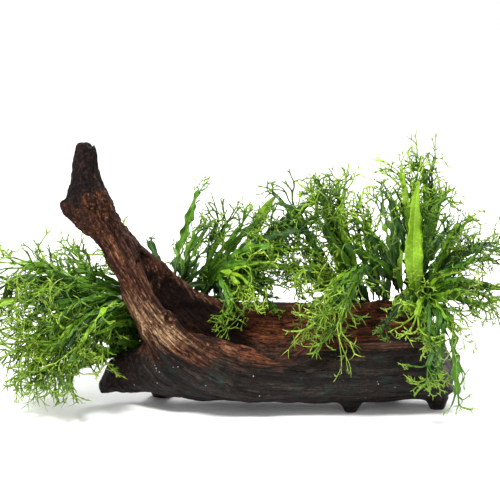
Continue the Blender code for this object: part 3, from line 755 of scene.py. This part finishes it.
# Ferns: growth --------------------------------------------
STRAND_THICKNESS = 0.50
BLADE_THICKNESS = 0.42
BLADE_ACROSS = (-1.0, -0.72, -0.36, -0.08, 0.0, 0.08, 0.36, 0.72, 1.0)
BLADE_FOLD = 0.26              # how far the edges stand up, as a share of half the width
RIB_HEIGHT = 0.30
STALK_WIDTH = 1.35
STALK_STATIONS = 7
STALK_SIDES = 6
PLAIN_TONE = 0.1
WOOD_CLEARANCE = 0.5
WOOD_ENDS = (-0.14, 0.19)      # no wood lies past these, in metres
WOOD_TOP = 0.225
WOOD_SEARCH = 45.0             # how deep in the wood a stray point is still brought out
STRAND_STEPS = 2
FORK_ANGLES = (0.26, 0.58)     # half the angle between the arms of a fork, in radians
STRAND_BEND = 1.05             # most that a strand curves from fork to fork


class Growth(Shells):
    """One frond drawn flat, then bent along its path and added to a piece's shells."""

    def __init__(self, path, tone, chance):
        super().__init__()
        self.path = path
        self.tone = tone
        self.chance = chance

    def strand(self, start, heading, pitch, length, widths, crest, crest_end):
        """A curved ribbon with a low ridge along it; returns where and how it ends."""
        bend = self.chance.uniform(-STRAND_BEND, STRAND_BEND)
        rise = self.chance.uniform(-0.4, 0.4)
        point = np.array(start, dtype=float)
        rings, marks = [], []
        for k in range(STRAND_STEPS + 1):
            t = k / STRAND_STEPS
            if k:
                heading += bend / STRAND_STEPS
                pitch += rise / STRAND_STEPS
                level = math.cos(pitch)
                point = point + length / STRAND_STEPS * np.array(
                    (math.cos(heading) * level, math.sin(heading) * level, math.sin(pitch)))
            half = 0.5 * np.interp(t, (0.0, 0.45, 1.0), widths)
            side = np.array((-math.sin(heading), math.cos(heading), 0.0)) * half
            thick = np.array((0.0, 0.0, min(half, 0.5 * STRAND_THICKNESS * MM)))
            rings += [point + side, point + thick, point - side]
            mark = crest + (crest_end - crest) * t
            marks += [(point[0] / self.path.length, across, mark, self.tone) for across in (1.0, 0.0, 1.0)]
        self.add(rings, ring_faces(STRAND_STEPS + 1, 3), marks)
        return point, heading, pitch

    def fork(self, start, heading, pitch, length, width, depth, crest):
        """A strand that divides again and again, the lace of the frond's tip."""
        chance = self.chance
        crest_end = min(1.0, crest + 0.24)
        widths = width * np.array((1.0, 0.76, 1.05) if depth else (1.0, 0.80, 0.34))
        point, heading, pitch = self.strand(start, heading, pitch, length, widths, crest, crest_end)
        if depth == 0:
            return
        spread = chance.uniform(*FORK_ANGLES)
        lean = chance.uniform(-0.22, 0.22)
        arms = [(turn + lean, chance.uniform(0.45, 1.1)) for turn in (-spread, spread)]
        for turn, size in arms:
            self.fork(point, heading * 0.92 + turn, pitch * 0.8 + chance.uniform(-0.4, 0.4),
                      length * size * 0.86, width * 0.84, depth - 1, crest_end)

    def stalk(self, reach):
        rings, marks = [], []
        for t in np.linspace(0.0, 1.0, STALK_STATIONS):
            half = 0.5 * STALK_WIDTH * MM * (1.15 - 0.25 * t)
            for angle in np.arange(STALK_SIDES) * math.tau / STALK_SIDES:
                rings.append((reach * t, half * math.cos(angle), half * math.sin(angle)))
                marks.append((reach * t / self.path.length, 0.0, 0.0, self.tone))
        self.add(rings, ring_faces(STALK_STATIONS, STALK_SIDES), marks)

    def blade(self, start, end, width, profile, ripple, end_share, ragged):
        """A thin wavy blade with a raised midrib; the profile gives its width along its length."""
        count = max(14, int((end - start) / (2.4 * MM)))
        phase = self.chance.uniform(0, math.tau)
        waves = (end - start) / (self.chance.uniform(11, 17) * MM) * math.tau
        rings, marks = [], []
        for k in range(count):
            t = k / (count - 1)
            x = start + (end - start) * t
            half = 0.5 * width * max(profile(t), end_share if t > 0.5 else 0.12)
            left = half * (1 + ragged * math.sin(waves * 1.1 * t + phase) + 0.04 * math.sin(waves * 2.1 * t))
            right = half * (1 + ragged * math.sin(waves * t + phase + 2.0) + 0.04 * math.cos(waves * 1.9 * t))
            top, bottom = [], []
            for v in BLADE_ACROSS:
                y = v * (right if v > 0 else left)
                wave = ripple * abs(v) ** 1.6 * half / (0.5 * width)
                wave *= math.sin(waves * t + phase + (1.9 if v > 0 else 0.0))
                rib = RIB_HEIGHT * MM if v == 0 else 0.0
                z = BLADE_FOLD * half * abs(v) + wave
                top.append((x, y, z + 0.5 * BLADE_THICKNESS * MM - rib * 0.5))
                bottom.append((x, y, z - 0.5 * BLADE_THICKNESS * MM - rib))
            rings += top[::-1] + bottom
            marks += 2 * [(x / self.path.length, abs(v), 0.0, self.tone) for v in BLADE_ACROSS]
        self.add(rings, ring_faces(count, 2 * len(BLADE_ACROSS)), marks)

    def finish(self, shells, surface):
        """Bends the flat frond along its path, keeps it out of the wood and above the ground."""
        points = self.path.to_space(np.concatenate(self.points))
        clear = WOOD_CLEARANCE * MM
        for i, point in enumerate(points):
            if not WOOD_ENDS[0] < point[0] < WOOD_ENDS[1] or point[2] > WOOD_TOP:
                continue
            hit, normal, index, distance = surface.find_nearest(Vector(point), WOOD_SEARCH * MM)
            if hit is not None and (Vector(point) - hit).dot(normal) < clear:
                points[i] = hit + normal * clear
        points[:, 2] = np.maximum(points[:, 2], 0.35 * MM + 0.04 * np.abs(points[:, 2]))
        past = points - np.clip(points, *np.array(cad_box))
        points += PROUD * MM * np.tanh(past / (PROUD * MM)) - past
        shells.add(points, self.faces, np.concatenate(self.marks))


def lanceolate(t):
    """Narrow at the foot, widest before the middle and drawn out towards the tip."""
    return max(0.0, math.sin(math.pi * min(1.0, t ** 0.8 * 0.95 + 0.03))) ** 0.95


def strap(t):
    """A narrow blade of nearly even width."""
    return 0.35 + 0.65 * max(0.0, math.sin(math.pi * (0.08 + 0.80 * t))) ** 0.6


def grow(path, blade_width, lace_width, chance, style, shells, surface, fullness=1.0):
    """One whole frond: stalk, blade, side strands and the forked lace crest."""
    growth = Growth(path, chance.random(), chance)
    draw = chance.uniform
    length = path.length
    blade_start = length * 0.05
    if style == "plain":
        growth.tone = PLAIN_TONE
    growth.stalk(blade_start + 2 * MM)
    if style == "plain":
        growth.blade(blade_start, length * 0.985, blade_width, lanceolate, 0.9 * MM, 0.02, 0.03)
        growth.finish(shells, surface)
        return
    wavy = style == "wavy"
    profile = lanceolate if style == "broad" else strap
    width = blade_width * {"broad": 0.85, "wavy": 0.68}.get(style, draw(0.36, 0.64))
    blade_end = length * (draw(0.78, 0.84) if wavy else draw(0.62, 0.80))
    ripple = 2.6 if wavy else draw(0.9, 1.8)
    growth.blade(blade_start, blade_end, width, profile, ripple * MM, 0.30, 0.32 if wavy else 0.13)

    crest = length - blade_end
    fan = math.atan2(0.5 * lace_width, crest) * 0.95
    mains = max(2, round(chance.choice((3, 4, 4)) * fullness))
    for k in range(mains):
        share = (k + 0.5) / mains * 2 - 1
        heading = fan * share + draw(-0.15, 0.15)
        size = crest * draw(0.28, 0.42)
        growth.fork((blade_end - 1.5 * MM, share * 0.15 * width, 0.0), heading, draw(-0.3, 0.3),
                    size, draw(1.4, 2.1) * MM, chance.choice((3, 3, 4)), 0.05)
    for k in range(1 if wavy else round(draw(1, 6) * fullness)):
        hand = -1 if k % 2 else 1
        t = draw(0.6, 0.99)
        start = (blade_start + (blade_end - blade_start) * t, hand * 0.36 * width * profile(t), 0.0)
        heading = hand * draw(0.35, 0.75)
        size = crest * draw(0.16, 0.32)
        growth.fork(start, heading, draw(-0.5, 0.5), size, draw(1.2, 1.8) * MM,
                    chance.choice((1, 2, 2)), 0.12)
    growth.finish(shells, surface)


# Leaf materials: foot of the frond, its main colour, a cooler variant and the lace tips.
# The shades are partly the leaves' own greens and partly painted light: dark stands for fronds in shade and
# lime for lit ones; green and lime are brightened as painted light shining through the leaves.
LEAF_COLOURS = {
    "dark": ((0.004, 0.014, 0.002), (0.026, 0.090, 0.005), (0.013, 0.058, 0.006), (0.170, 0.360, 0.022)),
    "green": ((0.006, 0.025, 0.002), (0.085, 0.235, 0.008), (0.038, 0.138, 0.008), (0.355, 0.590, 0.048)),
    "lime": ((0.020, 0.062, 0.003), (0.255, 0.470, 0.012), (0.145, 0.335, 0.013), (0.530, 0.760, 0.100)),
}


def leaf_paint(shade):
    foot, main, cool, tip = LEAF_COLOURS[shade]
    paint = Paint(f"leaf_{shade}_frond", (*main, 1.0), 0.42)
    ease, mix, times = paint.ease, paint.mix, paint.times
    along, across, crest, tone = (paint.mark(name) for name in FERN_MARKS)
    place = paint.place()
    cloudy = paint.noise(place, 90.0, 3.0, 0.5)
    mottle = paint.noise(place, 520.0, 4.0, 0.6)
    slant = times(cloudy, 0.03, times(across, -0.045, along))
    veins = paint.math("SINE", times(slant, 260.0))
    rib = times(ease(across, 0.16, 0.03), ease(crest, 0.05, 0.0))
    colour = main
    # Darker towards the foot, partly the frond's own colour and partly painted shade inside the clump; paler
    # towards the lace tips, partly painted highlight.
    for share, layer in ((ease(times(cloudy, 0.5, tone), 0.45, 1.05), cool),
                         (ease(times(paint.math("SUBTRACT", cloudy, 0.5), 0.8, crest), 0.0, 1.1), tip),
                         (ease(along, 0.44, 0.06), foot), (times(rib, 0.25), tip),
                         (ease(veins, 0.5, 1.0, 0.0, 0.05), tip),
                         (ease(mottle, 0.42, 0.66, 0.34, 0.0), foot),
                         (ease(tone, 0.0, 1.0, 0.0, 0.22), foot)):
        colour = mix(share, colour, layer)
    paint.inputs["Specular IOR Level"].default_value = 0.30
    roughness = ease(mottle, 0.3, 0.7, 0.34, 0.52)
    return paint.finish(colour, roughness, times(veins, 0.25, mottle), 0.35, 0.0004)


# Fronds by their names without "frond_". The plain ones are whole leaves with no crest.
STYLES = {"broad": ("left_05", "left_06", "middle_09", "right_07", "right_11"),
          "plain": ("middle_08", "right_12"),
          "wavy": ("middle_01", "middle_02", "centre_01", "centre_03", "right_15")}
STYLE_OF = {name: style for style, names in STYLES.items() for name in names}
SOLITARY = ("middle_01", "middle_02", "middle_08", "right_12", "right_14", "right_15")
# Thinner fronds beside each frond: how many, how many more or fewer for some, and their shades.
SIDE_FRONDS = {"left": 5, "middle": 5, "centre": 6, "right": 4}
MORE_SIDE_FRONDS = {"left_02": -2, "left_05": 3, "left_06": 4, "left_07": 3, "left_08": 6, "left_09": 3,
                    "left_10": -2, "middle_05": 3, "middle_06": 6, "middle_07": -3, "middle_09": 4,
                    "centre_01": -3, "centre_02": 1, "centre_06": -4, "centre_07": -1, "centre_09": -2,
                    "right_08": -1, "right_10": 4, "right_11": 3, "right_13": -4}
SIDE_SHADES = {"left": ("dark", "green", "green", "lime"), "middle": ("dark", "green", "green", "lime"),
               "centre": ("dark", "green", "green", "green", "dark", "lime"),
               "right": ("dark", "green", "lime")}
# How the tips of the side fronds lean from the tip of their frond, for a plant or for one frond.
SIDE_LEAN = {"left": (-2, -4, -8), "middle": (12, -4, -2), "centre": (-12, -6, 2), "right": (2, -6, -5),
             "middle_06": (18, -6, -10), "middle_07": (24, -6, -4), "middle_09": (16, -8, -10),
             "centre_02": (-26, -8, -12), "centre_04": (-4, -6, -10), "centre_07": (-14, -4, 1),
             "left_08": (4, -4, 5)}
# Further single fronds: a frond to start from, how far the tip lies from its tip, and the shade.
# The wavy ones sweep from one plant over the next.
WAVY_FRONDS = {
    "middle": (("middle_09", (36, 6, 24), "dark"), ("middle_09", (30, 0, 4), "green"),
               ("middle_06", (48, 4, 40), "dark"), ("middle_08", (32, 0, -4), "dark"),
               ("middle_05", (26, 0, -12), "green"), ("middle_06", (20, 2, 22), "green")),
    "right": (("right_01", (-14, 0, 20), "green"), ("right_01", (-26, 0, -14), "dark"),
              ("right_03", (-22, 0, -24), "dark")),
}
# The narrow ones hang before the foot, over the back lip and about the cut end, or stand up high.
NARROW_FRONDS = {
    "left": (("left_08", (8, 4, 8), "green"), ("left_08", (-6, -4, -4), "lime"),
             ("left_09", (-10, 2, -12), "green"), ("left_09", (8, 4, -10), "lime"),
             ("left_07", (-12, -8, -26), "green"), ("left_07", (-38, -4, -22), "lime"),
             ("left_06", (-4, -8, -34), "dark"), ("left_06", (8, -6, -20), "lime"),
             ("left_08", (-12, 0, 8), "green"), ("left_08", (-4, -8, -9), "green")),
    "middle": (("middle_06", (12, 5, -18), "green"), ("middle_06", (4, 0, -32), "dark"),
               ("middle_06", (-9, 2, -24), "green"), ("middle_07", (30, 16, 27), "lime"),
               ("middle_07", (12, 14, 29), "lime")),
    "centre": (("centre_02", (-3, -1, -36), "green"), ("centre_03", (2, 0, 8), "green"),
               ("centre_05", (-8, 0, 7), "lime")),
    "right": (("right_14", (15, 10, 43), "green"), ("right_13", (29, -16, -6), "lime"),
              ("right_13", (47, -19, -8), "green"), ("right_14", (-6, -5, 37), "lime"),
              ("right_15", (-33, 4, 20), "green"), ("right_15", (-24, 0, 10), "green"),
              ("right_14", (6, 0, 19), "lime"), ("right_03", (-9, 0, 8), "lime"),
              ("right_03", (6, 4, 6), "green"), ("right_05", (-7, 0, 7), "green"),
              ("right_08", (-3, 0, 9), "lime"), ("right_09", (-14, 0, 26), "green")),
}
YOUNG_FRONDS = {"left": 9, "middle": 7, "centre": 5, "right": 10, "back": 6}
# Short fronds round each rhizome: how many, their shade and which way they lean.
CROWNS = {"left": (27, "green", (-0.2, -0.5, 0.2)), "middle": (14, "dark", (0.3, 0.0, 0.25)),
          "centre": (14, "dark", (-0.3, 0.0, 0.25)), "right": (28, "lime", (0.0, -0.75, -0.45))}
CROWN_LENGTH = (26, 62)
PROUD = 8.0                 # how far the tips may stand outside the CAD model's box


def add_fern_piece(shells, name, slot, paints, *nodes):
    piece = shells.build(name, paints[slot])
    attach(piece, "root")
    if nodes:
        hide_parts(*nodes)


def make_fronds(surface, paints):
    chance = random.Random(SEED)
    draw = chance.uniform
    narrow_chance = random.Random(SEED + 2)
    for plant in PLANTS:
        rhizome = node_points(f"rhizome_{plant}")
        beside = {shade: Shells() for shade in LEAF_COLOURS}
        for node in sorted(n for n in frame["nodes"] if n.startswith(f"frond_{plant}_")):
            name = node.removeprefix("frond_")
            path, widths = frond_path(node, rhizome, draw(0.2, 0.6), draw(0, 6))
            blade_width, lace_width = max(widths[2:5]), max(widths[5:])
            shells = Shells()
            grow(path, blade_width, lace_width, chance, STYLE_OF.get(name, "narrow"), shells, surface)
            add_fern_piece(shells, f"{node}_leaf", SLOT_OF[node], paints, node)
            count = 0 if name in SOLITARY else SIDE_FRONDS[plant] + MORE_SIDE_FRONDS.get(name, 0)
            for number in range(count):
                lean = np.array(SIDE_LEAN.get(name, SIDE_LEAN[plant])) * draw(0.0, 2.0) * MM
                across = (1 if number % 2 else -1) * draw(4, 20) * MM
                near = path.moved(across, draw(-16, 16) * MM, lean, draw(-0.9, 0.9), draw(0.76, 1.0),
                                  draw(0.2, 0.8), draw(0, 6))
                shells = beside[chance.choice(SIDE_SHADES[plant])]
                grow(near, blade_width * 0.8, lace_width * 0.9, chance, "narrow", shells, surface, 0.8)
        for table, style, source in ((WAVY_FRONDS, "wavy", chance), (NARROW_FRONDS, "narrow", narrow_chance)):
            for name, lean, shade in table.get(plant, ()):
                path, widths = frond_path(f"frond_{name}", rhizome, 0.0, 0.0)
                moved = path.moved(0.0, 0.0, np.array(lean) * MM, 0.0, 0.97, 0.55, source.uniform(0, 6))
                grow(moved, 10 * MM, 24 * MM, source, style, beside[shade], surface)
        for shade, shells in beside.items():
            if shells.count:
                add_fern_piece(shells, f"side_fronds_{plant}_{shade}", f"leaf_{shade}", paints)


def make_bunches(surface, paints):
    """Small fronds that fan out from each bunch's foot to the far end of its room."""
    chance = random.Random(SEED + 1)
    rhizomes = np.concatenate([node_points(f"rhizome_{plant}") for plant in PLANTS])
    for label, count in YOUNG_FRONDS.items():
        node = f"young_fronds_{label}"
        rings = solid_rings(node, 8, rhizomes)
        foot, far, end = (rings[k].mean(axis=0) for k in (0, -2, -1))
        radius = norm(rings[-2] - far, axis=1)
        direction = unit(end - foot)
        side = unit(np.cross(direction, (0.0, 0.0, 1.0)))
        upward = np.cross(side, direction)
        shells = Shells()
        for k in range(count):
            angle = k * GOLDEN_ANGLE
            spread = math.sqrt((k + 0.5) / count)
            aim = end + side * radius.max() * spread * math.cos(angle) * 0.9
            aim = aim + upward * radius.min() * spread * math.sin(angle) * 0.9
            lift = np.array((0.0, 0.0, 1.0)) * chance.uniform(0.02, 0.12) * norm(aim - foot)
            middle = foot + (aim - foot) * 0.5 + lift
            line = np.array([foot, foot + (middle - foot) * 0.5 + lift * 0.3, middle,
                             middle + (aim - middle) * 0.55 + lift * 0.2, aim])
            roll = chance.uniform(0, math.pi)
            across = side * math.cos(roll) + upward * math.sin(roll)
            path = Path(line, np.tile(across, (len(line), 1)), 0.4, chance.uniform(0, 6))
            grow(path, chance.uniform(8, 12) * MM, 1.4 * radius.max(), chance, "narrow", shells, surface, 0.5)
        add_fern_piece(shells, f"{node}_leaves", SLOT_OF[node], paints, node)


def make_crowns(surface, paints):
    """Short fronds all along each rhizome, turned the way that the plant's long fronds go."""
    chance = random.Random(SEED + 3)
    for plant, (count, shade, lean) in CROWNS.items():
        rhizome = node_points(f"rhizome_{plant}")
        fronds = [node_points(n) for n in frame["nodes"] if n.startswith(f"frond_{plant}_")]
        centre = np.mean([points.mean(axis=0) for points in fronds], axis=0)
        outward = unit(centre - rhizome.mean(axis=0))
        shells = Shells()
        for number in range(count):
            foot = rhizome[chance.randrange(len(rhizome))]
            wander = np.array([chance.gauss(0, 0.55) for axis in range(3)])
            aim = unit(outward + wander + np.array(lean))
            size = chance.uniform(*CROWN_LENGTH) * MM
            droop = np.array((0.0, 0.0, -1.0)) * size * chance.uniform(0.05, 0.5)
            line = np.array([foot + aim * size * t + droop * t * t for t in np.linspace(0, 1, 6)])
            across = np.tile(np.cross(aim, (0.0, -0.8, 0.6)), (len(line), 1))
            path = Path(line, across, chance.uniform(0.2, 0.7), chance.uniform(0, 6))
            grow(path, chance.uniform(7, 11) * MM, 16 * MM, chance, "narrow", shells, surface, 0.5)
        add_fern_piece(shells, f"crown_fronds_{plant}", f"leaf_{shade}", paints)


# Rhizomes and roots ---------------------------------------
RHIZOME_STATIONS = 70
ROOTS_PER_RHIZOME = 26
ROOT_RADIUS = 0.30
ROOT_STEP = 1.8


def rhizome_paint():
    paint = Paint("rhizome_skin", (0.05, 0.05, 0.02, 1.0), 0.7)
    place = paint.place()
    scales = paint.cells(place, 900.0)
    patches = paint.noise(place, 260.0, 4.0, 0.6)
    colour = paint.ramp(patches, {0.38: (0.018, 0.012, 0.006), 0.55: (0.050, 0.055, 0.018),
                                  0.70: (0.110, 0.125, 0.035)})
    colour = paint.mix(paint.ease(scales, 0.25, 0.6, 0.0, 0.6), colour, (0.020, 0.012, 0.008))
    return paint.finish(colour, paint.ease(patches, 0.3, 0.7, 0.55, 0.8), scales, 0.6, 0.0008)


def tube(shells, line, radii, sides, tone):
    """A closed round tube along a line of points."""
    along = np.gradient(line, axis=0)
    along /= norm(along, axis=1)[:, None] + 1e-12
    guide = np.array((0.13, 0.31, 0.94))
    rings, marks = [], []
    for k, (point, radius) in enumerate(zip(line, radii)):
        guide = unit(guide - along[k] * (guide @ along[k]))
        other = np.cross(along[k], guide)
        for i in range(sides):
            angle = math.tau * i / sides
            rings.append(point + radius * (guide * math.cos(angle) + other * math.sin(angle)))
            marks.append((k / len(line), 0.0, 0.0, tone))
    shells.add(rings, ring_faces(len(line), sides), marks)


def make_roots(shells, line, surface, chance):
    """Wiry roots that run from the rhizome's line down over the wood."""
    for number in range(ROOTS_PER_RHIZOME):
        point = Vector(line[int(chance.uniform(4, len(line) - 4))])
        hit, normal, index, distance = surface.find_nearest(point)
        heading = Vector([chance.uniform(-1, 1) for axis in range(3)]) + Vector((0, 0, -0.6))
        heading = (heading - normal * heading.dot(normal)).normalized()
        place = point + (hit - point) * 0.6
        trail = [np.array(point), np.array(place)]
        for step in range(chance.randint(7, 18)):
            heading += Vector([chance.uniform(-1, 1) for axis in range(3)]) * 0.55
            heading = (heading - normal * heading.dot(normal)).normalized()
            place = place + heading * ROOT_STEP * MM
            hit, normal, index, distance = surface.find_nearest(place)
            place = hit + normal * 0.35 * MM
            if place.z < 1.0 * MM:
                break
            trail.append(np.array(place))
        tube(shells, np.array(trail), np.linspace(1.0, 0.45, len(trail)) * ROOT_RADIUS * MM, 5, 1.0)


def make_rhizomes(surface):
    chance = random.Random(SEED + 2)
    paint = {"rhizome": rhizome_paint()}
    for plant in PLANTS:
        node = f"rhizome_{plant}"
        points = node_points(node)
        rings = solid_rings(node, 6, points[[points[:, 0].argmin()]])
        centres = np.array([ring.mean(axis=0) for ring in rings])
        size = [norm(ring - c, axis=1).mean() for ring, c in zip(rings, centres)]
        reach = np.linspace(0, len(centres) - 1, RHIZOME_STATIONS)
        line = read_along(reach, range(len(centres)), centres)
        radii = np.interp(reach, range(len(centres)), size)
        radii *= 1 + 0.10 * np.sin(reach * 5.1) + 0.06 * np.sin(reach * 11.7)
        radii[[0, -1]] *= 0.35
        shells = Shells()
        tube(shells, line, radii, 14, 0.0)
        add_fern_piece(shells, f"{node}_stem", SLOT_OF[node], paint, node)
        roots = Shells()
        make_roots(roots, line, surface, chance)
        add_fern_piece(roots, f"roots_{plant}", "rhizome", paint)


# The whole scene ------------------------------------------
make_studio()
wood_surface = make_wood()
leaf_paints = {f"leaf_{shade}": leaf_paint(shade) for shade in LEAF_COLOURS}
make_fronds(wood_surface, leaf_paints)
make_bunches(wood_surface, leaf_paints)
make_crowns(wood_surface, leaf_paints)
make_rhizomes(wood_surface)
